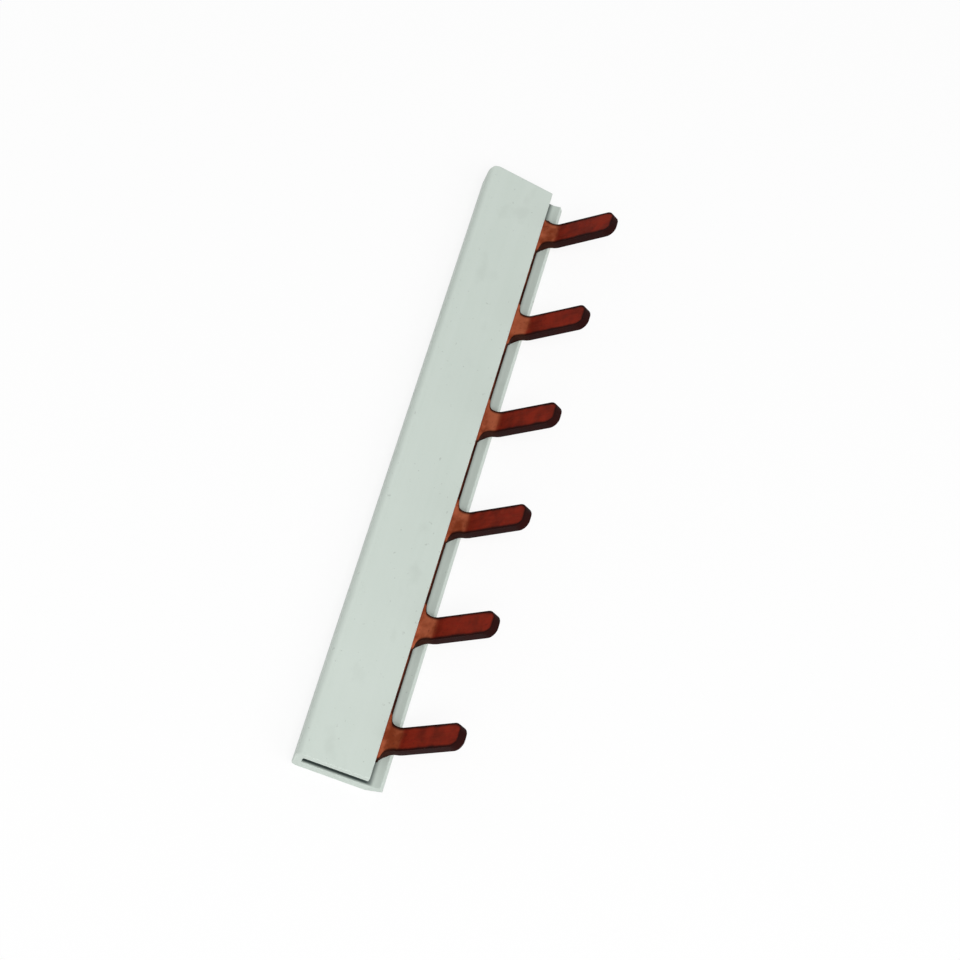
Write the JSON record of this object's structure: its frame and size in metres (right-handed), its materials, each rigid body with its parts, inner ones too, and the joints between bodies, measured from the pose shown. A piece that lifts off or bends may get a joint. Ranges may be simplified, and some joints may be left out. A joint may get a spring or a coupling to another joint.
{
  "type": "comb busbar",
  "caption": "Straight comb busbar: bent copper pins in one row, gripped in a grey plastic channel that is open along one side.",
  "frame": {"origin": "middle of the channel's flat back, at half its length and half the front wall's width", "axes": "+X along the bar from the slanted end to the square end, +Y from the closed spine towards the pins, +Z from the flat back to the front wall"},
  "size_m": [0.104, 0.0208, 0.0128],
  "materials": {
    "profile_plastic": "plain light grey rigid plastic, slightly satin, with faint smudges",
    "copper": "red-brown oxidised copper, satin, darker along the cut edges"
  },
  "bodies": {
    "root": {"insulating_profile": "profile_plastic", "copper_comb": "copper"}
  },
  "joints": []
}
